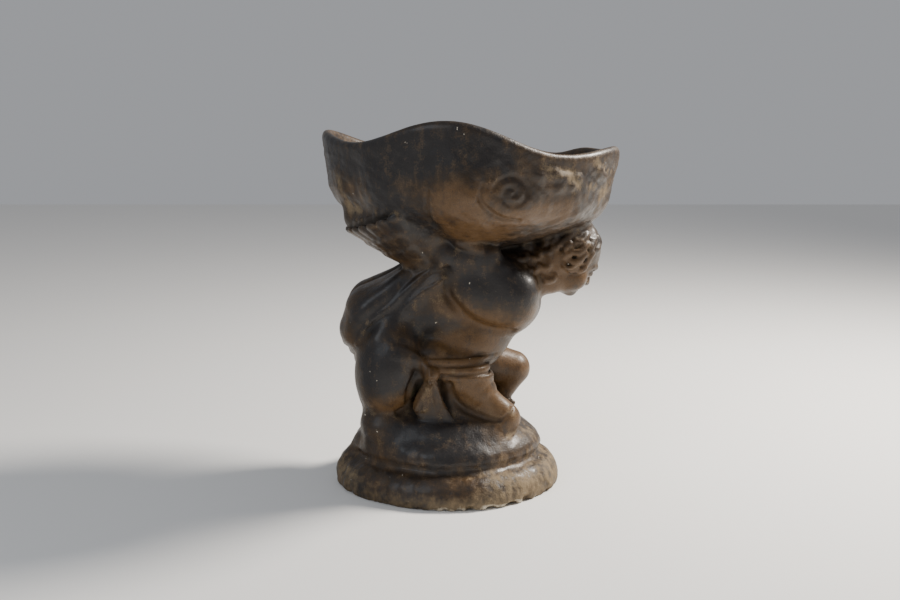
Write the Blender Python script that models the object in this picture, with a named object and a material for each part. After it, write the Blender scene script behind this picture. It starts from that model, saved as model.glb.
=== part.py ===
"""Cherub garden statue that carries a wavy shell bowl on its back, cast in one piece with its round base.

Metres, +Z up. The statue stands on z = 0 with the middle of its base at the origin.
The cherub faces +X, kneels on its right knee, and its right side is towards -Y.
"""

import math

import bmesh
import bpy
from mathutils import Euler, Matrix, Vector

# Base: a flared foot ring with a soft mound of ground on it
BASE_LENGTH = 0.298
BASE_WIDTH = 0.274
FOOT_RING_HEIGHT = 0.044
MOUND_RISE = 0.049
MOUND_LENGTH = 0.250
BASE_SIDES = 56

# Figure: its pose is given in shares of its own height, a twenty-fifth at a time
FIGURE_HEIGHT = 0.250
FIGURE_SINK = 0.004
SHARE = FIGURE_HEIGHT / 25
HEAD_MIDDLE = (15.4, 0.2, 20.7)
HEAD_NOD = 40
HEAD_TURN = 18
WING_ROOT = (-1.4, 2.6, 21.3)
WING_REACH = 9.9
WING_RISE = 0.40
WING_TAPER = 0.12

# Bowl: a shell of even wall whose rim rises in four waves
BOWL_LENGTH = 0.382
BOWL_WIDTH = 0.344
BOWL_DEPTH = 0.129
BOWL_WALL = 0.013
FOLDS = 12
FOLD_SWELL = 0.014
LOBE_DEPTH = 0.045
WALL_BITE = 0.6
RIM_ROUND = 0.0045
BOWL_OFFSET = 0.022
BOWL_TURN = -9
BOWL_SEAT_SHARE = 0.872
RIM_WAVE_SIDES = 0.030
RIM_WAVE_ENDS = 0.016
FAR_SIDE_DROP = 0.25
FAR_LOBE = 0.013
FAR_LOBE_AT = math.radians(38)
FAR_LOBE_SPREAD = math.radians(15)
BOWL_TILT_FORWARD = 3.5
BOWL_TILT_BACK = 3.2
BOWL_SIDES = 64

# Fineness of the modelled clay
CLAY_GRAIN = 0.0034
CLAY_SOFTENING = 7
FIGURE_FACES = 5000

GLAZED_BROWN = (0.105, 0.052, 0.026, 1.0)

GROUND = FOOT_RING_HEIGHT + MOUND_RISE - FIGURE_SINK
BOWL_BOTTOM = GROUND + BOWL_SEAT_SHARE * FIGURE_HEIGHT


def share(x, y, z):
    """A point of the figure, in twenty-fifths of its height from the ground under it."""
    return Vector((x, y, z)) * SHARE + Vector((0, 0, GROUND))


class Clay:
    """The balls and limbs that a figure is built up from, before they are fused."""

    def __init__(self):
        self.mesh = bmesh.new()

    def ball(self, centre, radii, lean=0, turn=0, roll=0):
        """An egg about centre, leant about Y, turned about Z and rolled about X, in degrees."""
        size = Matrix.Diagonal(Vector(radii) * SHARE).to_4x4()
        spin = Euler([math.radians(a) for a in (roll, lean, turn)]).to_matrix().to_4x4()
        place = Matrix.Translation(share(*centre)) @ spin @ size
        bmesh.ops.create_icosphere(self.mesh, subdivisions=3, radius=1, matrix=place)

    def limb(self, start, start_radius, end, end_radius):
        """A round limb that tapers from one ball to another: the hull of the two."""
        hull = bmesh.new()
        for centre, radius in ((start, start_radius), (end, end_radius)):
            place = Matrix.Translation(share(*centre))
            bmesh.ops.create_icosphere(hull, subdivisions=2, radius=radius * SHARE, matrix=place)
        covered = bmesh.ops.convex_hull(hull, input=hull.verts[:])["geom_interior"]
        bmesh.ops.delete(hull, geom=covered, context="VERTS")
        piece = bpy.data.meshes.new("limb")
        hull.to_mesh(piece)
        hull.free()
        self.mesh.from_mesh(piece)
        bpy.data.meshes.remove(piece)

    def chain(self, points, radii):
        """Limbs end to end through several points."""
        for (a, b), (ra, rb) in zip(zip(points, points[1:]), zip(radii, radii[1:])):
            self.limb(a, ra, b, rb)


def torso(clay):
    """A plump body bent forward over the knee, its back under the bowl."""
    clay.ball((-6.2, 0.6, 13.2), (8.0, 6.4, 5.4), lean=-30)
    clay.ball((-2.0, 0.0, 17.4), (6.2, 5.6, 4.6), lean=-28)
    clay.ball((2.5, -0.4, 10.5), (6.6, 5.5, 4.7), lean=-12)
    clay.ball((6.5, -0.3, 14.6), (6.2, 6.2, 4.7), lean=-10)
    clay.ball((5.2, 0.2, 18.0), (6.0, 6.0, 4.4))
    clay.ball((4.0, 0.0, 19.8), (8.0, 7.2, 2.9))
    for side in (-1, 1):
        clay.limb((-1.0, side * 4.6, 19.4), 1.6, (-9.8, side * 3.8, 14.4), 3.0)
        clay.limb((-9.8, side * 3.8, 14.4), 3.0, (-11.2, side * 3.6, 11.8), 2.2)
    clay.limb((7.0, 0.0, 18.8), 4.1, (12.4, 0.2, 20.0), 3.8)


def legs(clay):
    """The right leg kneels with its heel under the haunch; the left knee is raised in front."""
    clay.ball((-7.0, -4.3, 7.2), (4.6, 4.6, 6.7), lean=10)
    clay.ball((-6.0, 4.2, 7.2), (5.2, 4.4, 6.4), lean=12)
    clay.ball((-2.8, 0.0, 5.0), (5.0, 6.0, 5.4))
    clay.limb((-1.0, -3.8, 7.4), 4.0, (3.5, -4.9, 6.5), 3.3)
    clay.limb((3.5, -4.9, 6.5), 3.3, (8.0, -5.7, 1.6), 1.7)
    clay.chain([(7.2, -5.6, 1.2), (1.5, -5.2, 1.3), (-5.0, -4.6, 1.4)], [1.6, 1.9, 1.3])
    clay.chain([(-6.0, -4.4, 0.9), (-8.9, -4.2, 1.0), (-9.8, -4.0, 3.0)], [1.1, 1.15, 0.9])
    clay.limb((-2.0, 3.6, 7.4), 4.0, (9.2, 4.8, 5.0), 2.4)
    clay.limb((9.2, 4.8, 4.7), 2.3, (7.2, 4.8, 0.6), 1.3)
    clay.limb((6.0, 4.8, 0.2), 1.3, (9.0, 4.6, 0.0), 0.9)


def arm(clay, side):
    """A folded arm: the elbow forward beside the cheek, the hand back on the bowl."""
    clay.limb((4.4, side * 5.4, 18.2), 2.9, (9.3, side * 6.2, 17.2), 2.35)
    clay.limb((9.3, side * 6.2, 17.4), 2.3, (4.6, side * 6.6, 20.4), 1.6)
    clay.ball((3.6, side * 6.6, 21.4), (1.8, 1.2, 1.5), lean=-20)


def head_point(forward, aside, up):
    """A point of the head in its own nodding axes, from the middle of the skull."""
    nod = Euler((0, math.radians(HEAD_NOD), math.radians(HEAD_TURN))).to_matrix()
    return Vector(HEAD_MIDDLE) + nod @ Vector((forward, aside, up))


def head(clay):
    """A round infant head with full cheeks, pitched down under the front of the bowl."""

    def knob(place, radii):
        clay.ball(head_point(*place), radii, lean=HEAD_NOD, turn=HEAD_TURN)

    knob((-0.3, 0.0, 0.7), (4.5, 4.0, 4.1))
    knob((1.2, 0.0, -2.2), (3.1, 3.1, 2.7))
    for side in (-1, 1):
        knob((1.9, side * 1.7, -2.1), (1.6, 1.5, 1.5))
        knob((-0.6, side * 3.9, -0.9), (0.8, 0.5, 1.1))
    knob((3.2, 0.0, -3.2), (0.9, 1.0, 0.8))
    knob((4.4, 0.0, -1.1), (0.7, 0.6, 0.6))
    knob((3.9, 0.0, -2.3), (0.7, 1.0, 0.5))
    clay.limb(head_point(0.8, 0.0, -2.6), 2.6, (10.4, 0.2, 18.2), 3.0)


def hair(clay):
    """Short thick curls over the skull, set in rings about the crown and clear of the face."""
    for ring, (tip, count) in enumerate(((12, 1), (38, 6), (64, 10), (90, 12), (114, 10))):
        for k in range(count):
            around = math.radians(360 * (k + 0.5 * (ring % 2)) / count)
            down = math.radians(tip)
            forward = math.sin(down) * math.cos(around)
            if tip > 60 and forward > 0.45:
                continue
            place = Vector((forward * 4.4, math.sin(down) * math.sin(around) * 4.0, math.cos(down) * 4.2))
            clay.ball(head_point(place.x - 0.4, place.y, place.z + 0.8), (1.2, 1.2, 1.0))


def drapery(clay):
    """A rolled loincloth knotted on the right hip, its tails down and a sash over the back."""
    waist = [
        (-1.2, -7.0, 7.7), (2.2, -8.0, 7.5), (5.6, -7.6, 7.3), (7.6, -5.0, 7.5), (8.0, -1.6, 8.0),
    ]
    clay.chain(waist, [1.0, 1.0, 0.95, 0.9, 0.9])
    clay.ball((-1.2, -7.7, 7.4), (1.3, 1.0, 1.2))
    clay.chain([(-1.4, -7.4, 6.6), (-2.0, -6.8, 4.2), (-2.4, -6.4, 1.6)], [0.7, 1.0, 1.3])
    clay.chain([(-0.8, -7.4, 6.6), (-0.2, -6.9, 4.0), (1.2, -6.5, 1.6)], [0.6, 0.8, 0.9])
    clay.chain([(-0.6, -4.2, 20.2), (-3.4, -5.0, 17.2), (-6.4, -5.4, 14.2)], [0.9, 1.0, 0.8])


def wing(clay, side):
    """A short wing spread back under the bowl: a thick inner part over one layer of long feathers."""
    root = Vector((WING_ROOT[0], side * WING_ROOT[1], WING_ROOT[2]))
    under = Vector((-0.333, side * 0.163, -0.923))
    for spread in (3, 16, 29, 41, 52):
        out = math.radians(spread)
        reach = WING_REACH * (1 - WING_TAPER * out**2)
        way = Vector((-math.cos(out), side * math.sin(out), WING_RISE)) * reach
        clay.limb(root, 1.9, root + 0.95 * way + Vector((0, 0, 1.2)), 1.6)
        clay.limb(root + 0.8 * under, 0.9, root + 1.02 * way + 0.3 * under, 0.75)


def figure():
    clay = Clay()
    torso(clay)
    legs(clay)
    head(clay)
    hair(clay)
    drapery(clay)
    for side in (-1, 1):
        arm(clay, side)
        wing(clay, side)
    shape = new_object("figure", clay.mesh)
    fuse = shape.modifiers.new("Fuse", "REMESH")
    fuse.mode = "VOXEL"
    fuse.voxel_size = CLAY_GRAIN
    soften = shape.modifiers.new("Soften", "SMOOTH")
    soften.factor = 0.5
    soften.iterations = CLAY_SOFTENING
    faces = len(evaluated(shape).polygons) * 2
    thin = shape.modifiers.new("Thin out", "DECIMATE")
    thin.ratio = FIGURE_FACES / faces
    return shape


def base_profile():
    """Half section of the base from the middle of its top down to the ground, radius and height.

    The radius is a share of the foot ring's, which is 1."""
    lip = MOUND_LENGTH / BASE_LENGTH
    top = FOOT_RING_HEIGHT + MOUND_RISE
    return [
        (0.0, top), (0.45 * lip, top - 0.04 * MOUND_RISE), (0.72 * lip, top - 0.16 * MOUND_RISE),
        (0.87 * lip, top - 0.38 * MOUND_RISE), (0.96 * lip, top - 0.60 * MOUND_RISE),
        (1.0 * lip, top - 0.79 * MOUND_RISE), (0.985 * lip, top - 0.92 * MOUND_RISE),
        (0.965 * lip, FOOT_RING_HEIGHT), (0.90, 0.93 * FOOT_RING_HEIGHT),
        (0.955, 0.73 * FOOT_RING_HEIGHT), (0.995, 0.42 * FOOT_RING_HEIGHT),
        (1.0, 0.18 * FOOT_RING_HEIGHT), (0.985, 0.0), (0.0, 0.0),
    ]


def base():
    """The profile turned about Z, its round edge pulled a little out of true as cast."""
    mesh = bmesh.new()
    rings = []
    for share_out, height in base_profile():
        ring = []
        for k in range(BASE_SIDES if share_out else 1):
            a = 2 * math.pi * k / BASE_SIDES
            uneven = 1 + 0.018 * math.cos(2 * a + 2.0) + 0.008 * math.sin(5 * a + 2.1)
            uneven -= 0.010 * math.cos(a + 2.3)
            out = share_out * uneven / 2
            ring.append(
                mesh.verts.new((out * BASE_LENGTH * math.cos(a), out * BASE_WIDTH * math.sin(a), height))
            )
        rings.append(ring)
    for upper, lower in zip(rings, rings[1:]):
        for k in range(BASE_SIDES):
            after = (k + 1) % BASE_SIDES
            corners = [upper[k % len(upper)], lower[k % len(lower)]]
            corners += [lower[after % len(lower)], upper[after % len(upper)]]
            mesh.faces.new(list(dict.fromkeys(corners)))
    return new_object("cherub_statue", mesh)


def bowl_wave(around):
    """How far the rim stands up at an angle: high at the two sides, less at the two ends.

    The far side is lower than the near one, and between it and the front end the rim dips less."""
    swing = 0.5 + 0.5 * math.cos(4 * around)
    sides = RIM_WAVE_SIDES * (1 - FAR_SIDE_DROP * (0.5 + 0.5 * math.sin(around)))
    extra = FAR_LOBE * math.exp(-(((around - FAR_LOBE_AT) / FAR_LOBE_SPREAD) ** 2))
    return swing * (sides * math.sin(around) ** 2 + RIM_WAVE_ENDS * math.cos(around) ** 2) + extra


def bowl_profile():
    """Outer section of the bowl from its bottom to its rim, as shares of half width and depth."""
    return [
        (0.0, 0.0), (0.16, 0.02), (0.34, 0.08), (0.53, 0.17), (0.70, 0.26), (0.84, 0.36),
        (0.925, 0.49), (0.955, 0.64), (0.978, 0.80), (1.0, 0.94), (0.994, 1.0),
    ]


def bowl_surface(closed):
    """The bowl's outer surface ring by ring, lobed towards the rim, with or without a lid."""
    mesh = bmesh.new()
    rings = []
    for out, up in bowl_profile():
        ring = []
        for k in range(BOWL_SIDES if out else 1):
            a = 2 * math.pi * k / BOWL_SIDES
            lobe = 1 - LOBE_DEPTH * out * (1 - math.cos(4 * a)) / 2
            lobe += FOLD_SWELL * math.sin(math.pi * up) * math.cos(FOLDS * a)
            x = 0.5 * BOWL_LENGTH * out * lobe * math.cos(a)
            y = 0.5 * BOWL_WIDTH * out * lobe * math.sin(a)
            ring.append(mesh.verts.new((x, y, BOWL_DEPTH * up + bowl_wave(a) * up**2)))
        rings.append(ring)
    if closed:
        rings.append([mesh.verts.new((0, 0, BOWL_DEPTH))])
    for lower, upper in zip(rings, rings[1:]):
        for k in range(BOWL_SIDES):
            after = (k + 1) % BOWL_SIDES
            corners = [lower[k % len(lower)], lower[after % len(lower)]]
            corners += [upper[after % len(upper)], upper[k % len(upper)]]
            mesh.faces.new(list(dict.fromkeys(corners)))
    return mesh


def seat(shape, lift):
    """Sets a piece of the bowl on the figure's back, tilted as the figure holds it."""
    turned = Matrix.Rotation(math.radians(BOWL_TURN), 3, "Z")
    tilted = Euler((math.radians(-BOWL_TILT_BACK), math.radians(BOWL_TILT_FORWARD), 0)).to_matrix()
    shape.location = (BOWL_OFFSET, 0, BOWL_BOTTOM + lift)
    shape.rotation_euler = (tilted @ turned).to_euler()


def bowl():
    """The shell itself: Solidify gives the wall inwards, and its lip is rounded."""
    shape = new_object("bowl", bowl_surface(closed=False))
    seat(shape, 0)
    wall = shape.modifiers.new("Wall", "SOLIDIFY")
    wall.thickness = BOWL_WALL
    wall.offset = -1
    lip = shape.modifiers.new("Lip", "BEVEL")
    lip.width = RIM_ROUND
    lip.segments = 2
    lip.limit_method = "ANGLE"
    lip.angle_limit = math.radians(50)
    return shape


def keep_clear_of_bowl(shape):
    """Cuts away what would come through the bowl's wall into its hollow."""
    room = new_object("bowl_room", bowl_surface(closed=True))
    seat(room, WALL_BITE * BOWL_WALL)
    combine(shape, room, "DIFFERENCE")


def new_object(name, mesh):
    data = bpy.data.meshes.new(name)
    mesh.to_mesh(data)
    mesh.free()
    made = bpy.data.objects.new(name, data)
    bpy.context.scene.collection.objects.link(made)
    return made


def evaluated(shape):
    bpy.context.view_layer.update()
    return shape.evaluated_get(bpy.context.evaluated_depsgraph_get()).data


def combine(body, other, operation):
    """Casts the other solid on, or cuts it away; it stays as a hidden helper."""
    other.hide_render = True
    other.display_type = "WIRE"
    step = body.modifiers.new(operation.title() + " " + other.name, "BOOLEAN")
    step.operation = operation
    step.solver = "EXACT"
    step.object = other


def glazed_brown():
    finish = bpy.data.materials.new("glazed_brown")
    finish.use_nodes = True
    shader = finish.node_tree.nodes["Principled BSDF"]
    shader.inputs["Base Color"].default_value = GLAZED_BROWN
    shader.inputs["Roughness"].default_value = 0.3
    shader.inputs["Metallic"].default_value = 0.0
    return finish


def main():
    for old in list(bpy.data.objects):
        bpy.data.objects.remove(old)
    cherub = figure()
    keep_clear_of_bowl(cherub)
    statue = base()
    combine(statue, cherub, "UNION")
    combine(statue, bowl(), "UNION")
    statue.data.materials.append(glazed_brown())


main()
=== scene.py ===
"""Looks of the cherub garden statue: its carving as one casting, its bronze-brown gloss, and the studio."""

import math

import bpy
import numpy as np
from mathutils import Euler, Matrix, Vector


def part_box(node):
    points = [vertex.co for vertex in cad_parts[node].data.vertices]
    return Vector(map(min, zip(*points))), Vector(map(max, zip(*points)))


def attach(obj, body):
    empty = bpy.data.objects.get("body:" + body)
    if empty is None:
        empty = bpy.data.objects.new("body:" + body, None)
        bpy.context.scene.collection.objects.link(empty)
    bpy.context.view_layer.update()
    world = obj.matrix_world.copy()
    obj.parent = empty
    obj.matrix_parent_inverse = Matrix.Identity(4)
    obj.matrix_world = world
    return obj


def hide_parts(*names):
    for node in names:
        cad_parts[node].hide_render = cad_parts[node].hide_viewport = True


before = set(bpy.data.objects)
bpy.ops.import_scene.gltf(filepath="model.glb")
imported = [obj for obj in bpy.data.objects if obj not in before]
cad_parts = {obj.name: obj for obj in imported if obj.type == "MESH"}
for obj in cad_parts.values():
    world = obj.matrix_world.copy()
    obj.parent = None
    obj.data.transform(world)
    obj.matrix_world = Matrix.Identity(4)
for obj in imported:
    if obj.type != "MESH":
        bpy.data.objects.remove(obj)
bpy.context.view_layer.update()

# The base: a flared foot ring under a soft mound of ground, cast in one with the figure and the bowl.
# It was turned as one profile, then pressed out of true by hand; its lower edge is rough and chipped.
# The whole statue is modelled as clay in one block of space, so each mass runs softly into its neighbours.
GRAIN = 0.00125
REACH = 0.009
LONGEST_LANDING = 0.10
BASE_LENGTH = 0.298
BASE_WIDTH = 0.274
FOOT_RING_HEIGHT = 0.044
MOUND_RISE = 0.049
MOUND_LENGTH = 0.250
CHIPS = 34


class Clay:
    """A block of space that knows, at each of its points, how far the modelled surface is."""

    def __init__(self, low, high, grain):
        self.grain = grain
        self.low = np.array(low) - 3 * grain
        counts = np.ceil((np.array(high) - self.low) / grain).astype(int) + 4
        self.block = np.full(counts, 2 * REACH, dtype=np.float32)

    def part(self, low, high):
        """The piece of the block between two corners, with its points' coordinates."""
        first = np.floor((np.array(low) - self.low) / self.grain).astype(int)
        last = np.ceil((np.array(high) - self.low) / self.grain).astype(int) + 1
        first = np.clip(first, 0, self.block.shape)
        last = np.clip(last, first, self.block.shape)
        window = tuple(slice(a, b) for a, b in zip(first, last))
        axes = [self.low[k] + self.grain * np.arange(first[k], last[k]) for k in range(3)]
        return window, np.ix_(*(axis.astype(np.float32) for axis in axes))

    def add(self, mass, join=0.005):
        """Runs a mass into what is there; join is how far the soft seam spreads."""
        low, high, distance = mass
        window, points = self.part(low - REACH - join, high + REACH + join)
        if min(s.stop - s.start for s in window) > 0:
            self.block[window] = soft_min(self.block[window], distance(*points), join)

    def cut(self, mass, join=0.001):
        """Takes a mass away, with its edges softened over join."""
        low, high, distance = mass
        window, points = self.part(low - REACH - join, high + REACH + join)
        if min(s.stop - s.start for s in window) > 0:
            self.block[window] = -soft_min(-self.block[window], distance(*points), join)

    def read(self, places):
        """The stored distances at loose points, between the grid's own."""
        spot = (places - self.low) / self.grain
        base = np.clip(np.floor(spot).astype(int), 0, np.array(self.block.shape) - 2)
        part = np.clip(spot - base, 0, 1)
        total = np.zeros(len(places))
        for corner in np.ndindex(2, 2, 2):
            weight = np.prod(np.where(corner, part, 1 - part), axis=1)
            total += weight * self.block[tuple((base + corner).T)]
        return total

    def land(self, places, way):
        """Where loose points first meet the surface as they go along way."""
        steps = np.arange(0, LONGEST_LANDING, self.grain / 2)
        landed = []
        for place in places:
            inside = self.read(place + steps[:, None] * way) < 0
            if inside.any():
                landed.append(place + way * steps[np.argmax(inside)])
        return landed


def soft_min(a, b, join):
    """The lower of two distances, rounded where they are within join of each other."""
    if join <= 0:
        return np.minimum(a, b)
    overlap = np.clip(1 - np.abs(a - b) / join, 0, None)
    return np.minimum(a, b) - overlap * overlap * (join / 4)


def egg(centre, radii, axes=None):
    """An egg with its own axes, the columns of a turning matrix."""
    centre, radii = np.array(centre, float), np.array(radii, float)
    axes = np.eye(3) if axes is None else np.array(axes)
    half = np.sqrt((axes**2) @ (radii**2))

    def distance(x, y, z):
        away = (x - centre[0], y - centre[1], z - centre[2])
        first, second = 0, 0
        for k in range(3):
            local = (away[0] * axes[0, k] + away[1] * axes[1, k] + away[2] * axes[2, k]) / radii[k]
            first = first + local**2
            second = second + (local / radii[k]) ** 2
        first = np.sqrt(first)
        return first * (first - 1) / np.sqrt(second + 1e-9)

    return centre - half, centre + half, distance


def strand(points, radii, flat=1.0, face=None):
    """A bent round bar through points; flat thins it along the direction of face."""
    points = [np.array(p, float) for p in points]
    biggest = max(radii)
    low = np.min(points, axis=0) - biggest
    high = np.max(points, axis=0) + biggest
    if face is not None:
        face = np.array(face, float) / np.linalg.norm(face)

    def distance(x, y, z):
        nearest = None
        for (a, b), (ra, rb) in zip(zip(points, points[1:]), zip(radii, radii[1:])):
            run = b - a
            away = (x - a[0], y - a[1], z - a[2])
            along = (away[0] * run[0] + away[1] * run[1] + away[2] * run[2]) / max(run @ run, 1e-12)
            along = np.clip(along, 0, 1)
            radius = ra + along * (rb - ra)
            off = [away[k] - along * run[k] for k in range(3)]
            square = off[0] ** 2 + off[1] ** 2 + off[2] ** 2
            if face is None:
                here = np.sqrt(square) - radius
            else:
                thin = off[0] * face[0] + off[1] * face[1] + off[2] * face[2]
                wide = square - thin**2
                first = np.sqrt(wide / radius**2 + (thin / (radius * flat)) ** 2)
                second = np.sqrt(wide / radius**4 + thin**2 / (radius * flat) ** 4 + 1e-9)
                here = first * (first - 1) / second
            nearest = here if nearest is None else np.minimum(nearest, here)
        return nearest

    return low, high, distance


def bend(points, steps=5):
    """A smooth run of points through a few given ones."""
    points = [np.array(p, float) for p in points]
    ends = [2 * points[0] - points[1], *points, 2 * points[-1] - points[-2]]
    smooth = []
    for a, b, c, d in zip(ends, ends[1:], ends[2:], ends[3:]):
        for t in np.arange(steps) / steps:
            squared, cubed = (2 * a - 5 * b + 4 * c - d) * t**2, (3 * b - a - 3 * c + d) * t**3
            smooth.append(0.5 * (2 * b + (c - a) * t + squared + cubed))
    return [*smooth, points[-1]]


class Section:
    """Half of a turned shape: how far each point of it is from the outline, and on which side."""

    STEP = 0.0005

    def __init__(self, outline, closed):
        outline = np.array(outline)
        self.low = outline.min(axis=0) - 0.03
        self.low[0] = -0.002
        size = np.ceil((outline.max(axis=0) + 0.03 - self.low) / self.STEP).astype(int)
        axes = [self.low[k] + self.STEP * np.arange(size[k]) for k in range(2)]
        out, up = np.meshgrid(*axes, indexing="ij")
        nearest = np.full(out.shape, 1e9)
        side = np.ones(out.shape)
        inside = np.zeros(out.shape, bool)
        for (x0, y0), (x1, y1) in zip(outline, outline[1:]):
            run = (x1 - x0) ** 2 + (y1 - y0) ** 2 + 1e-15
            along = np.clip(((out - x0) * (x1 - x0) + (up - y0) * (y1 - y0)) / run, 0, 1)
            here = np.hypot(out - x0 - along * (x1 - x0), up - y0 - along * (y1 - y0))
            turn = (x1 - x0) * (up - y0) - (y1 - y0) * (out - x0)
            side = np.where(here < nearest, np.where(turn > 0, -1.0, 1.0), side)
            nearest = np.minimum(nearest, here)
            crosses = (y0 > up) != (y1 > up)
            at = x0 + (up - y0) * (x1 - x0) / (y1 - y0 if y1 != y0 else 1e-12)
            inside ^= crosses & (out < at)
        self.table = np.where(inside, -nearest, nearest) if closed else nearest
        self.side = side

    def at(self, out, up):
        """The distance at points given by their radius and height."""
        across = np.clip((out - self.low[0]) / self.STEP, 0, self.table.shape[0] - 1.001)
        rise = np.clip((up - self.low[1]) / self.STEP, 0, self.table.shape[1] - 1.001)
        i, j = across.astype(int), rise.astype(int)
        s, t = across - i, rise - j
        t0 = self.table[i, j] * (1 - s) + self.table[i + 1, j] * s
        t1 = self.table[i, j + 1] * (1 - s) + self.table[i + 1, j + 1] * s
        return t0 * (1 - t) + t1 * t

    def side_at(self, out, up):
        """1 on the outer side of the line and -1 on the inner."""
        i = np.clip((out - self.low[0]) / self.STEP, 0, self.table.shape[0] - 1).astype(int)
        j = np.clip((up - self.low[1]) / self.STEP, 0, self.table.shape[1] - 1).astype(int)
        return self.side[i, j]


def base_section():
    """The base's outline from the middle of its top to the ground, and back to the middle."""
    lip = MOUND_LENGTH / 2
    rim = BASE_LENGTH / 2
    top = FOOT_RING_HEIGHT + MOUND_RISE
    curve = [
        (0.0, top), (0.45 * lip, top - 0.04 * MOUND_RISE), (0.72 * lip, top - 0.16 * MOUND_RISE),
        (0.87 * lip, top - 0.38 * MOUND_RISE), (0.96 * lip, top - 0.60 * MOUND_RISE),
        (0.99 * lip, top - 0.79 * MOUND_RISE), (0.98 * lip, top - 0.90 * MOUND_RISE),
        (0.975 * lip, 1.00 * FOOT_RING_HEIGHT), (0.830 * rim, 0.945 * FOOT_RING_HEIGHT),
        (0.85 * rim, 0.89 * FOOT_RING_HEIGHT), (0.91 * rim, 0.80 * FOOT_RING_HEIGHT),
        (0.965 * rim, 0.60 * FOOT_RING_HEIGHT), (0.995 * rim, 0.36 * FOOT_RING_HEIGHT),
        (1.0 * rim, 0.18 * FOOT_RING_HEIGHT), (0.985 * rim, 0.0),
    ]
    smooth = [tuple(p[:2]) for p in bend([(*p, 0) for p in curve], 4)]
    return Section([*smooth, (0.0, 0.0), (0.0, top)], closed=True)


def ripple(x, y, z, scale, seed):
    """A smooth uneven value between about -1 and 1, as a hand leaves it, the same at each run."""
    rng = np.random.default_rng(seed)
    total = 0
    for strength in (0.5, 0.3, 0.2):
        for _ in range(3):
            way = rng.normal(size=3)
            way = way / np.linalg.norm(way) * (2 * math.pi / scale)
            phase = way[0] * x + way[1] * y + way[2] * z + rng.uniform(0, 6.28)
            total = total + strength / 1.7 * np.sin(phase)
        scale = scale * 0.55
    return total


def base_mass():
    """The base as a mass: its section turned round, slightly oval and uneven, and rough near the ground."""
    section = base_section()
    rim = BASE_LENGTH / 2

    def distance(x, y, z):
        x, y, z = np.broadcast_arrays(x, y, z)
        a = np.arctan2(y / BASE_WIDTH, x / BASE_LENGTH)
        uneven = 1 + 0.018 * np.cos(2 * a + 2.0) + 0.008 * np.sin(5 * a + 2.1) - 0.010 * np.cos(a + 2.3)
        out = np.hypot(x / BASE_LENGTH, y / BASE_WIDTH) * 2 * rim / uneven
        rough = 0.35 + np.clip((0.020 - z) / 0.020, 0, 1)
        worn = ripple(x, y, z, 0.016, 4) * rough * 0.0011 + ripple(x, y, z, 0.05, 9) * 0.0012
        return section.at(out, z).astype(np.float32) + np.where(z > 0.0015, worn, np.maximum(worn, 0))

    corner = np.array([BASE_LENGTH / 2, BASE_WIDTH / 2, 0]) * 1.03
    return -corner, corner + [0, 0, FOOT_RING_HEIGHT + MOUND_RISE], distance


clay = Clay(*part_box("cherub_statue"), GRAIN)
clay.add(base_mass())
rng = np.random.default_rng(21)
for _ in range(CHIPS):
    a = rng.uniform(0, 2 * math.pi)
    edge = np.array((BASE_LENGTH / 2 * math.cos(a), BASE_WIDTH / 2 * math.sin(a), 0)) * 1.015
    size = rng.uniform(0.003, 0.0075)
    clay.cut(egg(edge + (0, 0, rng.uniform(-0.002, 0.005)), size * np.array((1, 1, 0.7))), 0.002)
large_chip = egg((0.088, -0.118, -0.001), (0.016, 0.012, 0.007))
clay.cut(large_chip, 0.003)
hand_pressed = [(-0.108, -0.020, 0.056), (-0.122, -0.020, 0.037), (-0.132, -0.020, 0.022)]
clay.add(strand(hand_pressed, (0.010, 0.011, 0.010)), 0.014)

# The body: plump and bent forward over the knee, its shoulders under the bowl, built from big rolls of clay.
# Places are in twenty-fifths of the figure's own height, from the ground under it; it faces +X.
FIGURE_HEIGHT = 0.250
SHARE = FIGURE_HEIGHT / 25
GROUND = FOOT_RING_HEIGHT + MOUND_RISE - 0.004
STARTS_OUTSIDE = 0.012


def at(x, y, z):
    """A place in metres from one in shares of the figure's height."""
    return np.array((x, y, z), float) * SHARE + (0, 0, GROUND)


def turned(lean=0, turn=0, roll=0):
    """A turning matrix: lean about Y, turn about Z, roll about X, in degrees."""
    return np.array(Euler([math.radians(a) for a in (roll, lean, turn)]).to_matrix())


def ball(centre, radii, lean=0, roll=0):
    """An egg given in shares."""
    return egg(at(*centre), np.array(radii) * SHARE, turned(lean, roll=roll))


def limb(points, radii, **kind):
    """A strand given in shares."""
    return strand([at(*p) for p in points], [r * SHARE for r in radii], **kind)


def swell(values, count):
    """Radii spread evenly over a bent strand from a few given ones."""
    return list(np.interp(np.linspace(0, 1, count), np.linspace(0, 1, len(values)), values))


def bar(line, radii):
    """A strand along a smooth line, its radii in shares and spread evenly over it."""
    return strand(line, [r * SHARE for r in swell(radii, len(line))])


def drawn(points, way=(0, 1, 0), sink=0.0, steps=4):
    """A smooth line laid on the clay: its points start just outside and are set down along way."""
    way = np.array(way, float) / np.linalg.norm(way)
    start = [p - STARTS_OUTSIDE * way for p in bend([at(*p) for p in points], steps)]
    return [p + way * sink * SHARE for p in clay.land(start, way)]


def crease(points, radii, join=0.004, **laid):
    """A soft groove pressed along a line on the clay."""
    clay.cut(bar(drawn(points, **laid), radii), join)


def fold(points, radii, join=0.003, **laid):
    """A raised roll laid along a line on the clay."""
    clay.add(bar(drawn(points, **laid), radii), join)


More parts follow.
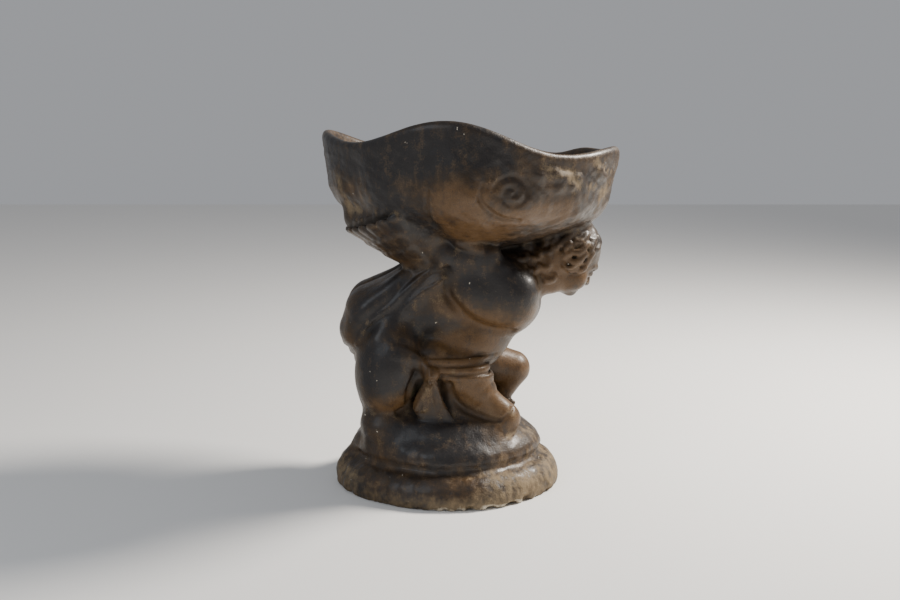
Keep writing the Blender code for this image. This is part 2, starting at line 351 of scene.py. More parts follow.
for middle, radii, lean, join in (
    ((-6.2, 0.6, 13.2), (7.9, 6.3, 5.3), -30, 0.010),
    ((-2.0, 0.0, 17.4), (6.0, 5.4, 4.4), -28, 0.014),
    ((2.3, -0.4, 10.5), (6.5, 5.5, 4.6), -12, 0.012),
    ((6.3, -0.3, 14.6), (6.2, 6.1, 4.5), -10, 0.010),
    ((5.2, 0.2, 17.8), (5.8, 5.8, 4.3), 0, 0.012),
    ((4.0, 0.0, 19.8), (7.8, 6.9, 2.8), 0, 0.010),
):
    clay.add(ball(middle, radii, lean), join)
for side in (-1, -0.5, 0, 0.5, 1):
    loin = [(-1.0, side * 4.6, 19.4), (-9.8, side * 3.6, 14.4), (-11.3, side * 3.4, 11.8)]
    clay.add(limb(loin, (1.6, 2.9, 2.2)), 0.014)
clay.add(limb([(7.0, 0.0, 18.8), (12.4, 0.2, 20.0)], (4.1, 3.8)), 0.010)
clay.add(limb([(10.0, -1.4, 18.2), (13.6, -1.2, 18.2)], (2.2, 1.9)), 0.010)

# The legs: the right one kneels with its heel under the haunch, the left knee is raised in front.
# Both are short and fat, pressed together from separate rolls of clay, with the toes pinched out.
clay.add(ball((-7.15, -4.3, 7.2), (4.5, 4.6, 6.6), lean=10), 0.016)
clay.add(ball((-6.0, 4.2, 7.2), (5.0, 4.4, 6.2), lean=12), 0.014)
clay.add(ball((-2.8, 0.0, 5.0), (5.0, 5.6, 5.2)), 0.010)
clay.add(ball((-7.3, 0.0, 7.6), (4.2, 4.0, 5.4), lean=10), 0.016)
thigh = [(-1.0, -3.8, 7.2), (2.6, -4.8, 6.0), (5.1, -5.4, 3.4), (7.6, -5.3, 1.3), (8.2, -5.2, 0.5)]
clay.add(bar(bend([at(*p) for p in thigh], 3), (4.0, 3.1, 1.8, 1.25, 1.0)), 0.008)
clay.add(ball((1.2, -3.9, 3.2), (4.4, 2.7, 3.0)), 0.010)
clay.add(ball((7.9, -5.1, 0.6), (1.35, 1.4, 1.15)), 0.010)
clay.add(limb([(-6.0, -6.2, -0.8), (0.0, -6.7, -0.9), (5.5, -6.4, -1.0)], (1.6, 1.8, 1.4)), 0.020)
clay.add(limb([(7.2, -5.2, 0.7), (1.5, -4.6, 0.7), (-5.0, -4.2, 0.9)], (1.6, 1.6, 1.3)), 0.018)
clay.add(limb([(-6.0, -4.2, 0.8), (-8.7, -4.1, 0.9), (-9.7, -4.0, 3.0)], (1.2, 1.25, 1.0)), 0.012)
clay.add(ball((-8.4, -4.4, -0.4), (2.6, 3.2, 1.9)), 0.020)
clay.add(limb([(-2.0, 3.6, 7.4), (9.1, 4.8, 5.0)], (4.0, 2.3)), 0.006)
clay.add(limb([(9.1, 4.8, 4.7), (7.2, 4.8, 0.6)], (2.2, 1.3)), 0.005)
clay.add(limb([(6.0, 4.8, 0.2), (8.3, 4.6, 0.0)], (1.3, 0.9)), 0.004)
for toe in range(5):
    left_size = np.array((0.62, 0.34, 0.44)) * (1.15 - 0.1 * toe)
    right_size = np.array((0.75, 0.33, 0.45)) * (1.15 - 0.09 * toe)
    clay.add(ball((8.8 - 0.16 * toe, 3.8 + 0.44 * toe, 0.2), left_size), 0.002)
    clay.add(ball((-9.6, -3.3 - 0.46 * toe, 0.7), right_size), 0.002)
haunch = [
    (-3.2, -7.1, 8.7), (-3.9, -7.6, 6.9), (-4.5, -7.8, 5.4), (-4.8, -7.4, 4.0), (-4.9, -6.6, 2.7),
    (-6.1, -6.4, 1.8),
]
crease(haunch, (0.15, 0.32, 0.38, 0.30), 0.005)
under_thigh = [
    (0.5, -7.9, 6.0), (0.7, -7.4, 4.7), (1.2, -6.6, 3.4), (2.1, -6.7, 2.4), (3.4, -7.0, 1.7),
    (5.0, -7.1, 1.2), (6.6, -7.1, 0.9),
]
crease(under_thigh, (0.30, 0.34, 0.26, 0.20, 0.12), 0.006)
crease([(x, -y, z) for x, y, z in haunch], (0.15, 0.30, 0.34, 0.20), 0.005, way=(0, -1, 0))
crease([(6.4, 7.0, 4.9), (7.0, 6.6, 3.4), (7.4, 6.2, 1.8)], (0.15, 0.25, 0.15), 0.004, way=(0, -1, 0))
crease([(8.9, -7.3, 2.9), (8.1, -7.6, 1.7), (6.8, -7.3, 0.8)], (0.12, 0.2, 0.12), 0.003)
clay.cut(ball((-0.6, -8.0, 4.0), (0.75, 1.6, 2.7), lean=-8), 0.012)

# The arms: folded, the elbow forward beside the cheek and the hand back, flat against the bowl.
# Each was built up from soft rolls, and one long shallow line was drawn round under it from armpit to chest.
# The hollow down the spine was pressed in once both shoulders were on.
for side in (-1, 1):
    clay.add(limb([(4.2, side * 4.5, 18.2), (9.0, side * 5.2, 17.2)], (2.9, 2.35)), 0.018)
    clay.add(limb([(3.4, side * 4.0, 16.4), (8.4, side * 4.3, 15.4)], (3.2, 2.9)), 0.020)
    clay.add(limb([(9.0, side * 5.3, 17.5), (5.2, side * 6.0, 20.6)], (2.1, 1.4)), 0.014)
    clay.add(ball((0.5, side * 5.0, 17.2), (2.3, 1.7, 2.6)), 0.014)
    clay.add(limb([(3.0, side * 4.8, 19.8), (0.0, side * 5.4, 22.2)], (2.3, 2.3)), 0.010)
    clay.add(ball((-1.2, side * 4.3, 14.6), (3.0, 1.9, 2.6)), 0.020)
    clay.add(ball((4.2, side * 6.3, 22.0), (2.5, 1.6, 1.3), lean=-10, roll=side * 24), 0.018)
    for finger in range(4):
        across = np.array((-0.10, side * 0.50, 0.34)) * finger
        joints = ((4.4, side * 6.1, 21.9), (3.1, side * 6.2, 22.3), (2.0, side * 6.2, 22.7))
        clay.add(limb([np.array(p) + across for p in joints], (0.52, 0.52, 0.46)), 0.006)
    clay.add(ball((6.9, side * 6.7, 20.3), (0.8, 0.6, 0.6)), 0.006)
    way = (0, -side, 0)
    crescent = [
        (0.1, 5.6, 20.2), (0.0, 5.6, 18.1), (0.4, 5.4, 16.8), (1.2, 5.4, 15.6), (2.2, 5.6, 14.4),
        (3.4, 5.8, 13.4), (5.0, 5.8, 12.7), (6.8, 5.4, 12.3), (8.4, 4.6, 12.0),
    ]
    crease([(x, side * y, z) for x, y, z in crescent], (0.02, 0.08, 0.15, 0.20, 0.20, 0.06), 0.014, way=way)
spine = [(-3.0, 0, 23.5), (-7.0, 0, 21.5), (-10.6, 0, 18.6), (-13.6, 0, 15.6), (-14.6, 0, 13.0)]
crease(spine, (0.20, 0.36, 0.42, 0.36, 0.15), 0.016, way=(0.8, 0, -0.8))

# The head: a round infant head with full cheeks, bowed under the front of the bowl and turned a little away.
# The face is a plain calm one. The hair was laid on in short curled locks of clay, down to the nape.
HEAD_MIDDLE = (15.8, 0.2, 21.0)
HEAD_NOD = 40
HEAD_TURN = 18
LOCKS = 118
GOLDEN_ANGLE = 2.39996
nod = turned(HEAD_NOD, HEAD_TURN)


def head(forward, aside, up):
    """A place on the head by its own axes, from the middle of the skull."""
    return at(*(np.array(HEAD_MIDDLE) + nod @ np.array((forward, aside, up), float)))


def knob(place, radii):
    """An egg on the head, by the head's own axes."""
    return egg(head(*place), np.array(radii) * SHARE, nod)


def roll(places, radii):
    """A bent roll on the head, by the head's own axes."""
    return bar(bend([head(*p) for p in places], 3), radii)


clay.add(knob((-0.3, 0.0, 0.7), (4.3, 3.7, 3.9)), 0.004)
clay.add(knob((1.1, 0.0, -2.0), (2.9, 2.9, 2.5)), 0.006)
clay.add(knob((3.2, 0.0, -3.2), (0.9, 1.0, 0.8)), 0.006)
for side in (-1, 1):
    clay.add(knob((2.0, side * 1.75, -1.75), (1.6, 1.5, 1.5)), 0.006)
    clay.cut(knob((4.35, side * 1.35, 0.0), (1.0, 0.95, 0.55)), 0.005)
    clay.add(knob((3.05, side * 1.4, -0.1), (0.85, 0.8, 0.62)), 0.0015)
    brow = [(2.9, side * 2.4, 0.75), (3.6, side * 1.5, 1.05), (3.95, side * 0.5, 0.75)]
    lower_lid = [(3.35, side * 2.2, -0.3), (3.95, side * 1.45, -0.45), (3.9, side * 0.75, -0.3)]
    upper_lid = [(3.3, side * 2.1, 0.45), (3.8, side * 1.4, 0.6), (3.85, side * 0.8, 0.4)]
    clay.add(roll(brow, (0.2, 0.34, 0.25)), 0.004)
    clay.cut(roll(lower_lid, (0.07, 0.14, 0.07)), 0.001)
    clay.cut(roll(upper_lid, (0.06, 0.13, 0.06)), 0.002)
    clay.add(knob((4.05, side * 0.48, -1.15), (0.42, 0.34, 0.3)), 0.0015)
    ear = [
        (-0.9 + 0.85 * math.cos(t), side * (3.75 + 0.18 * math.cos(t)), -0.75 + 1.15 * math.sin(t))
        for t in np.linspace(-2.2, 2.6, 9)
    ]
    clay.add(roll(ear, (0.26, 0.30, 0.26, 0.2)), 0.002)
    clay.cut(knob((-0.8, side * 4.1, -0.8), (0.4, 0.5, 0.6)), 0.002)
clay.add(roll([(3.85, 0, 0.45), (4.2, 0, -0.35), (4.5, 0, -1.0)], (0.30, 0.38, 0.46)), 0.004)
upper_lip = [(3.6, -0.95, -2.2), (4.05, -0.4, -2.0), (4.1, 0, -2.1), (4.05, 0.4, -2.0), (3.6, 0.95, -2.2)]
clay.add(roll(upper_lip, (0.12, 0.24, 0.2, 0.24, 0.12)), 0.002)
clay.add(roll([(3.6, -0.75, -2.45), (4.0, 0, -2.62), (3.6, 0.75, -2.45)], (0.14, 0.28, 0.14)), 0.002)
clay.cut(roll([(3.55, -1.05, -2.28), (4.3, 0, -2.36), (3.55, 1.05, -2.28)], (0.08, 0.13, 0.08)), 0.001)
clay.add(knob((-0.8, 0.0, 1.3), (4.4, 4.0, 3.85)), 0.002)
clay.add(knob((-2.4, -0.4, 2.8), (2.6, 2.8, 2.4)), 0.006)
clay.add(knob((-1.5, 0.0, -1.2), (3.4, 3.75, 2.6)), 0.003)
rng = np.random.default_rng(7)
for lock in range(LOCKS):
    rise = 1 - 1.55 * (lock + 0.5) / LOCKS
    angle = lock * GOLDEN_ANGLE
    flat_out = math.sqrt(max(1 - rise * rise, 0))
    out = np.array((flat_out * math.cos(angle), flat_out * math.sin(angle), rise))
    if out[0] > 0.52 and out[2] < 0.78 - 0.25 * abs(out[1]):
        continue
    down = np.array((-0.25, 0, -1.0)) + out * 0.9
    down = down - out * (down @ out)
    down = down / (np.linalg.norm(down) + 1e-6)
    across = np.cross(out, down) * (1 if rng.random() < 0.5 else -1)
    size = rng.uniform(0.78, 1.0)
    middle = np.array((-0.75, 0, 0.75)) + out * (4.25, 3.85, 3.85)
    curl = (
        (-0.9, 0.25, -0.15), (-0.3, -0.42, 0.12), (0.5, -0.35, 0.18), (0.95, 0.25, 0.05), (0.55, 0.6, 0.12),
    )
    path = [middle + (down * a + across * b + out * c) * size for a, b, c in curl]
    clay.add(roll(path, np.array((0.3, 0.56, 0.54, 0.40, 0.2)) * size), 0.0015)
NAPE_CURLS = ((12.6, 22.2), (11.2, 21.4), (12.4, 20.2), (10.2, 22.6), (9.4, 21.3), (10.9, 19.9), (13.0, 18.6))
for side in (-1, 1):
    for x, z in NAPE_CURLS:
        curl = ((-0.8, 0.35), (-0.2, -0.3), (0.6, -0.2), (0.9, 0.35), (0.5, 0.65))
        line = [(x + a, side * 6.0, z + b) for a, b in curl]
        fold(line, (0.25, 0.5, 0.48, 0.36, 0.15), 0.002, way=(0, -side, 0), sink=0.12)

# The wings: a short pair, spread back and half open under the rear of the bowl.
# Each is a fan of clay feathers: two rows of long ones under three of shorter ones, laid like tiles.
WING_ROOT = (-1.4, 2.6, 21.3)
WING_RISE = 0.40
WING_REACH = 9.9
WING_CURVE = 0.24
WING_SPREAD = math.radians(52)
WING_THICK = 1.9
WING_ROWS = (
    (8, 1.00, 0.95, 1.50, 0.80), (7, 0.97, 0.95, 0.75, 1.20),
    (7, 0.76, 0.90, 1.85, 0.50), (6, 0.53, 0.86, 2.10, 0.22), (5, 0.31, 0.80, 2.25, 0.0),
)


def feather(side, spread, share, drop, lift):
    """The way along one feather from the shoulder to its tip, and which way its underside faces."""
    ways = []
    for angle in (spread, spread + 0.05):
        rise = WING_RISE + WING_CURVE * (angle / WING_SPREAD) ** 2
        ways.append(np.array((-math.cos(angle), side * math.sin(angle), rise)))
    under = np.cross(ways[0], ways[1] - ways[0])
    under = under / np.linalg.norm(under) * (-1 if under[2] > 0 else 1)
    start = np.array((WING_ROOT[0], side * WING_ROOT[1], WING_ROOT[2])) + under * drop
    reach = ways[0] * WING_REACH * share * (1 - 0.12 * spread**2)
    return bend([start, start + reach * 0.5, start + reach + (0, 0, lift)], 3), under


for side in (-1, 1):
    for spread in np.linspace(0.05, 1.0, 7) * WING_SPREAD:
        for drop, share, lift, thick in ((0, 0.90, 1.2, (WING_THICK, 1.5)), (0.8, 0.95, 0.5, (0.9, 0.75))):
            path, _ = feather(side, spread, share, drop, lift)
            clay.add(limb(path, swell(thick, len(path))), 0.010)
    for spread, share in ((1.10, 0.78), (1.28, 0.62), (1.48, 0.46)):
        path, _ = feather(side, spread, share, 0.2, 0.0)
        clay.add(limb(path, swell((WING_THICK, 1.5), len(path))), 0.012)
    clay.add(limb([(-11.6, side * 4.0, 26.2), (-11.9, side * 4.6, 27.9)], (1.0, 0.9)), 0.010)
    top_edge = [(-11.4, side * 4.2, 26.6), (-8.7, side * 6.6, 26.5), (-5.8, side * 8.4, 26.8)]
    clay.add(limb(top_edge, (0.9, 1.0, 0.9)), 0.012)
    for count, share, width, drop, lift in WING_ROWS:
        for k in range(count):
            spread = WING_SPREAD * np.interp(k, (0, count - 1), (0.0, 1.08) if count == 8 else (0.07, 1.0))
            path, under = feather(side, spread, share, drop + 0.04 * k, lift)
            clay.add(limb(path, swell((0.5, width, width), len(path)), flat=0.42, face=under), 0.0016)

# The drapery: a sash from the right shoulder round the back, and a cloth tied at the right hip.
# Both were thin sheets of clay, folded by hand; the cloth's two ends hang from the knot over the calf.
top_fold = [
    (-0.1, -5.6, 21.0), (-1.9, -6.1, 19.9), (-3.5, -6.2, 18.7), (-5.1, -6.3, 17.3), (-6.9, -6.3, 15.5),
    (-8.5, -6.4, 14.4), (-9.5, -6.3, 13.6), (-10.6, -5.8, 12.1), (-11.3, -5.1, 10.4),
]
front_fold = [
    (0.0, -6.2, 19.3), (-1.2, -6.1, 18.3), (-3.0, -6.2, 17.3), (-4.5, -6.0, 16.0), (-5.5, -5.9, 14.9),
    (-7.0, -6.1, 13.4), (-8.6, -7.0, 11.3),
]
rear_fold = [
    (-0.7, -4.3, 21.5), (-3.3, -4.4, 20.4), (-5.6, -5.4, 18.8), (-7.5, -6.0, 17.2), (-9.3, -6.2, 15.9),
    (-10.8, -6.3, 14.3), (-11.9, -5.5, 12.6),
]
fold(front_fold, (0.6, 0.75, 0.8, 0.7, 0.45), 0.014, sink=0.5)
fold(rear_fold, (0.5, 0.6, 0.6, 0.5, 0.35), 0.014, sink=0.44)
fold(top_fold, (0.30, 0.42, 0.44, 0.42, 0.34, 0.2), 0.003, sink=0.10)
fold(front_fold[:5], (0.12, 0.26, 0.28, 0.24, 0.1), 0.003, sink=0.02)
SWAGS = ((10.4, 9.8, 0.45), (9.7, 8.4, 0.4), (9.1, 6.9, 0.45), (8.5, 5.4, 0.4), (7.8, 3.9, 0.45))
for hung, sag, size in SWAGS:
    swag = [
        (-12.0, -2.6, hung - 0.5), (-12.0, -1.4, 0.4 * hung + 0.6 * sag), (-12.0, 0.4, sag),
        (-12.0, 3.2, 0.5 * (hung + sag)), (-12.0, 6.4, hung), (-12.0, 7.8, hung + 0.6),
    ]
    fold(swag, size * np.array((0.3, 0.9, 1, 1, 0.7, 0.4)), 0.006, way=(1, 0, 0), sink=0.25)
for rise, size in ((8.5, 0.26), (7.45, 0.30), (6.5, 0.24)):
    front = [
        (-3.6, -7.4, rise + 0.2), (-1.2, -7.6, rise), (1.8, -7.6, rise), (4.3, -7.4, rise),
        (6.6, -6.5, rise - 0.1), (8.0, -4.6, rise + 0.1),
    ]
    fold(front, (size * 0.6, size, size, size, size * 0.4), 0.007, way=(-0.4, 1, 0), sink=0.12)
for rise in (9.0, 8.0, 6.95):
    line = [(-1.8, -7.4, rise + 0.05), (1.8, -7.6, rise), (4.3, -7.4, rise), (6.5, -6.4, rise - 0.1)]
    crease(line, (0.05, 0.10, 0.10, 0.02), 0.003)
for lean, size in ((0.0, 0.4), (0.55, 0.34), (1.1, 0.28)):
    gather = [
        (-2.4, -7.6, 7.4 + lean * 0.5), (-3.8, -8.0, 8.3 + lean), (-5.4, -8.2, 9.2 + lean),
        (-7.2, -8.2, 9.6 + lean),
    ]
    fold(gather, (size, size, size * 0.8, size * 0.3), 0.006, sink=0.22)
clay.add(ball((-1.8, -7.9, 7.1), (1.05, 0.85, 0.95)), 0.003)
clay.add(limb([(-2.0, -8.3, 7.8), (-1.9, -8.7, 7.0), (-2.0, -8.3, 6.2)], (0.3, 0.34, 0.26)), 0.001)
rear_end = [(-2.0, -8.0, 6.6), (-2.3, -7.6, 5.2), (-2.7, -7.2, 3.9), (-2.9, -7.0, 2.7), (-2.9, -7.0, 2.1)]
clay.add(limb(rear_end, (0.5, 0.85, 1.1, 1.3, 1.0), flat=0.5, face=(0, 1, 0)), 0.004)
for lean in (-1.0, 0.0, 1.0):
    pleat = [(-2.0, -8.2, 6.2), (-2.35 + 0.35 * lean, -7.9, 4.6), (-2.8 + 0.95 * lean, -7.6, 2.4)]
    fold(pleat, (0.14, 0.22, 0.24), 0.003)
front_end = [(-1.6, -8.0, 6.4), (-1.25, -7.6, 4.6), (-0.9, -7.3, 3.1), (-0.1, -7.3, 1.9), (0.5, -7.3, 1.2)]
clay.add(limb(front_end, (0.45, 0.6, 0.65, 0.55, 0.4), flat=0.6, face=(0, 1, 0)), 0.004)
for lean in (-0.5, 0.6):
    pleat = [(-1.6, -8.2, 6.2), (-1.2 + 0.4 * lean, -7.9, 4.4), (-0.6 + 0.6 * lean, -7.7, 2.4)]
    fold(pleat, (0.12, 0.18, 0.18), 0.002)
clay.add(ball((-1.3, -6.5, 1.1), (1.9, 0.9, 1.0)), 0.007)
clay.add(ball((-1.4, -6.8, 2.5), (1.2, 0.8, 1.3)), 0.006)
for x, z, size in ((-1.3, 1.0, 0.5), (-0.4, 0.9, 0.5), (0.5, 0.9, 0.4), (-2.4, 0.9, 0.4)):
    clay.add(ball((x, -6.9, z), (size, size * 0.8, size * 0.8)), 0.003)

# The bowl: a deep shell with a wall as thick as a finger, its rim rising and falling in four waves.
# It was shaped over a form and set on the shoulders; a scroll is drawn and leaves are laid on each side.
BOWL_LENGTH = 0.382
BOWL_WIDTH = 0.344
BOWL_DEPTH = 0.129
BOWL_WALL = 0.013
BOWL_OFFSET = 0.022
BOWL_SEAT_SHARE = 0.872
BOWL_TURN = -9
BOWL_TILT_FORWARD = 3.5
BOWL_TILT_BACK = 3.2
RIM_WAVE_SIDES = 0.030
RIM_WAVE_ENDS = 0.016
LOBE_DEPTH = 0.045
FOLDS = 12
FOLD_SWELL = 0.014
FAR_SIDE_DROP = 0.25
FAR_LOBE = 0.013
FAR_LOBE_AT = math.radians(38)
FAR_LOBE_SPREAD = math.radians(15)
SWELLING = 0.0075
SWELLING_AT = math.radians(-80)
SWELLING_SPREAD = math.radians(13)


def bowl_section():
    """The middle of the bowl's wall from its bottom to its lip."""
    half = (BOWL_LENGTH + BOWL_WIDTH) / 4
    curve = [
        (0.0, 0.0), (0.16, 0.02), (0.34, 0.08), (0.53, 0.17), (0.70, 0.26), (0.84, 0.36),
        (0.925, 0.49), (0.955, 0.64), (0.978, 0.80), (1.0, 0.94), (0.994, 1.0),
    ]
    smooth = np.array(bend([(out * half, up * BOWL_DEPTH, 0) for out, up in curve], 4))[:, :2]
    run = np.gradient(smooth, axis=0)
    inward = np.stack([-run[:, 1], run[:, 0]], axis=1) / np.linalg.norm(run, axis=1)[:, None]
    middle = smooth + inward * BOWL_WALL / 2
    middle[0, 0] = 0
    middle = middle[middle[:, 1] < BOWL_DEPTH - BOWL_WALL / 2 + 0.0005]
    return Section(middle, closed=False), half


def bowl_mass(hollow=False):
    """The bowl's wall, or the space inside it."""
    section, half = bowl_section()
    turning = np.array(
        Euler((math.radians(-BOWL_TILT_BACK), math.radians(BOWL_TILT_FORWARD), 0)).to_matrix()
        @ Matrix.Rotation(math.radians(BOWL_TURN), 3, "Z")
    )
    seat = np.array([BOWL_OFFSET, 0, GROUND + BOWL_SEAT_SHARE * FIGURE_HEIGHT])

    def distance(x, y, z):
        away = np.broadcast_arrays(x - seat[0], y - seat[1], z - seat[2])
        u, v, w = (sum(away[i] * turning[i, k] for i in range(3)) for k in range(3))
        a = np.arctan2(v / BOWL_WIDTH, u / BOWL_LENGTH)
        sides = RIM_WAVE_SIDES * (1 - FAR_SIDE_DROP * (0.5 + 0.5 * np.sin(a)))
        wave = (0.5 + 0.5 * np.cos(4 * a)) * (sides * np.sin(a) ** 2 + RIM_WAVE_ENDS * np.cos(a) ** 2)
        wave = wave + FAR_LOBE * np.exp(-(((a - FAR_LOBE_AT) / FAR_LOBE_SPREAD) ** 2))
        up = 2 * w / (BOWL_DEPTH + np.sqrt(BOWL_DEPTH**2 + 4 * wave * np.maximum(w, -0.03)))
        round_out = np.hypot(u / BOWL_LENGTH, v / BOWL_WIDTH) * 2
        lobe = 1 - LOBE_DEPTH * np.clip(round_out, 0, 1) * (1 - np.cos(4 * a)) / 2
        lobe = lobe + FOLD_SWELL * np.sin(math.pi * np.clip(up, 0, 1)) * np.cos(FOLDS * a)
        out = round_out / lobe * half
        offset = section.at(out, up * BOWL_DEPTH)
        if hollow:
            inner = section.side_at(out, up * BOWL_DEPTH) < 0
            return np.where(inner, BOWL_WALL / 2 - offset, BOWL_WALL / 2 + offset).astype(np.float32)
        proud = SWELLING * np.exp(-(((a - SWELLING_AT) / SWELLING_SPREAD) ** 2))
        proud = proud * np.clip(np.sin(math.pi * up / 0.9), 0, 1)
        proud = proud + 0.0011 * ripple(x, y, z, 0.045, 12) + 0.0005 * ripple(x, y, z, 0.014, 13)
        proud = proud * np.clip((1.02 - up) * 5, 0, 1) * (section.side_at(out, up * BOWL_DEPTH) > 0)
        return (offset - BOWL_WALL / 2 - proud).astype(np.float32)

    top = seat[2] + BOWL_DEPTH + RIM_WAVE_SIDES
    low = np.array([BOWL_OFFSET - BOWL_LENGTH / 2, -BOWL_WIDTH / 2, seat[2]]) - 0.005
    high = np.array([BOWL_OFFSET + BOWL_LENGTH / 2, BOWL_WIDTH / 2, top]) + 0.012
    return low, high, distance


clay.add(bowl_mass(), 0.010)
clay.cut(bowl_mass(hollow=True), 0.0005)


def wall(x, z, side):
    """A place just outside the bowl's near or far side."""
    away = (x - BOWL_OFFSET / SHARE) / (BOWL_LENGTH / 2 / SHARE)
    return (x, side * (BOWL_WIDTH / 2 / SHARE * math.sqrt(max(1 - away**2, 0.02)) + 0.3), z)


FLUTE = ((4.3, 31.4), (4.0, 30.2), (4.2, 29.3), (5.2, 28.1), (6.6, 27.3), (8.6, 27.0))
SWIRL = (7.8, 30.2)
LEAVES = (
    ((11.2, 32.6), (13.4, 32.2), 0.50), ((12.2, 32.0), (14.6, 31.3), 0.62),
    ((13.2, 31.2), (15.8, 30.2), 0.62), ((12.0, 30.9), (13.9, 30.2), 0.50),
    ((14.4, 32.2), (16.6, 30.9), 0.46), ((10.2, 32.5), (11.2, 31.6), 0.36),
    ((14.6, 29.8), (15.8, 28.9), 0.42), ((17.8, 32.7), (18.9, 32.0), 0.42),
    ((18.6, 32.0), (19.5, 30.9), 0.42),
)
for side in (-1, 1):
    way = (0, -side, 0)
    crease([wall(x, z, side) for x, z in FLUTE], (0.10, 0.24, 0.28, 0.24, 0.1), 0.005, way=way)
    spiral = []
    for t in np.radians(np.linspace(-40, 520, 34)):
        out = 0.35 + 0.21 * t
        spiral.append(wall(SWIRL[0] + out * math.cos(t), SWIRL[1] + out * math.sin(t), side))
    crease(spiral, (0.02, 0.06, 0.08, 0.06, 0.02), 0.007, way=way, steps=2)
    for a, b, size in LEAVES:
        middle = wall((a[0] + b[0]) / 2 + 0.25, (a[1] + b[1]) / 2 + 0.25, side)
        line = [wall(*a, side), middle, wall(*b, side)]
        fold(line, (size * 0.5, size * 1.25, size * 0.5), 0.006, sink=0.3, way=way)
valley = [(-2.0, -14.8, 30.6), (-2.2, -14.0, 28.6), (-1.6, -12.4, 26.6), (-0.4, -9.6, 25.0)]
crease(valley, (0.1, 0.24, 0.24, 0.12), 0.006)
keel = [(6.0, 7.2, 23.7), (9.1, 8.8, 24.7), (11.4, 9.9, 25.7), (13.4, 10.2, 26.5), (15.6, 9.6, 27.4)]
for side in (-1, 1):
    line = [(x, side * y, z) for x, y, z in keel]
    fold(line, (0.3, 0.5, 0.5, 0.4, 0.2), 0.005, way=(0, -0.8 * side, 0.6), sink=0.3)

# The casting: base, figure and bowl came out of the mould as one piece, and were glazed brown.
# The clay's surface becomes one closed skin, with nothing loose left inside it.
THIN_FILL = 0.00005
TRIANGLES = 196000
CORNERS = np.array(list(np.ndindex(2, 2, 2)))
CORNER_PAIRS = [(a, b) for a in range(8) for b in range(a, 8) if np.abs(CORNERS[a] - CORNERS[b]).sum() == 1]


def seal(block):
    """Fills the places where two masses meet only corner to corner, which one skin could not go round."""
    for axis in range(3):
        one, two = (axis + 1) % 3, (axis + 2) % 3
        corners = []
        for a, b in ((0, 0), (1, 0), (0, 1), (1, 1)):
            window = [slice(None)] * 3
            window[one] = slice(a, block.shape[one] - 1 + a)
            window[two] = slice(b, block.shape[two] - 1 + b)
            corners.append(block[tuple(window)])
        solid_there = [corner < 0 for corner in corners]
        crossed = (solid_there[0] == solid_there[3]) & (solid_there[1] == solid_there[2])
        crossed &= solid_there[0] != solid_there[1]
        for corner in corners:
            corner[crossed] = np.minimum(corner[crossed], -THIN_FILL)


def skin(clay):
    """A closed surface through the block where the distance is nought: its points and its faces."""
    block = clay.block
    inside = block < 0
    count = np.zeros([n - 1 for n in block.shape], np.int8)
    for corner in CORNERS:
        count += inside[tuple(slice(c, c + n) for c, n in zip(corner, count.shape))]
    cells = np.argwhere((count > 0) & (count < 8))
    number = np.full(count.shape, -1, np.int32)
    number[tuple(cells.T)] = np.arange(len(cells))
    total, crossings = np.zeros((len(cells), 3)), np.zeros(len(cells))
    values = [block[tuple((cells + corner).T)] for corner in CORNERS]
    for a, b in CORNER_PAIRS:
        crosses = (values[a] < 0) != (values[b] < 0)
        share = values[a][crosses] / (values[a][crosses] - values[b][crosses])
        total[crosses] += CORNERS[a] + share[:, None] * (CORNERS[b] - CORNERS[a])
        crossings[crosses] += 1
    points = (cells + total / crossings[:, None]) * clay.grain + clay.low
    faces = []
    for axis in range(3):
        near = [slice(None)] * 3
        beyond = [slice(None)] * 3
        near[axis], beyond[axis] = slice(None, -1), slice(1, None)
        here, there = inside[tuple(near)], inside[tuple(beyond)]
        spots = np.argwhere(here != there)
        outward = here[tuple(spots.T)]
        one, two = np.eye(3, dtype=int)[(axis + 1) % 3], np.eye(3, dtype=int)[(axis + 2) % 3]
        ring = [number[tuple((spots - step).T)] for step in (0 * one, one, one + two, two)]
        quad = np.stack(ring, axis=1)
        quad[~outward] = quad[~outward][:, ::-1]
        faces.append(quad)
    return points, np.concatenate(faces)


def whole(points, faces):
    """The largest connected skin, without the small closed bubbles that overlapping folds leave inside."""
    label = np.arange(len(points))
    one, other = faces[:, :3].ravel(), faces[:, 1:].ravel()
    changed = True
    while changed:
        least = np.minimum(label[one], label[other])
        before = label.copy()
        np.minimum.at(label, one, least)
        np.minimum.at(label, other, least)
        label = label[label]
        changed = not np.array_equal(label, before)
    kept = label == np.bincount(label).argmax()
    number = np.cumsum(kept) - 1
    return points[kept], number[faces[kept[faces[:, 0]]]]


def solid(name, points, faces):
    """A Blender object from points and four-cornered faces."""
    mesh = bpy.data.meshes.new(name)
    mesh.vertices.add(len(points))
    mesh.vertices.foreach_set("co", np.asarray(points, np.float32).ravel())
    mesh.loops.add(faces.size)
    mesh.loops.foreach_set("vertex_index", np.asarray(faces, np.int32).ravel())
    mesh.polygons.add(len(faces))
    mesh.polygons.foreach_set("loop_start", np.arange(len(faces), dtype=np.int32) * 4)
    mesh.update(calc_edges=True)
    made = bpy.data.objects.new(name, mesh)
    bpy.context.scene.collection.objects.link(made)
    return made


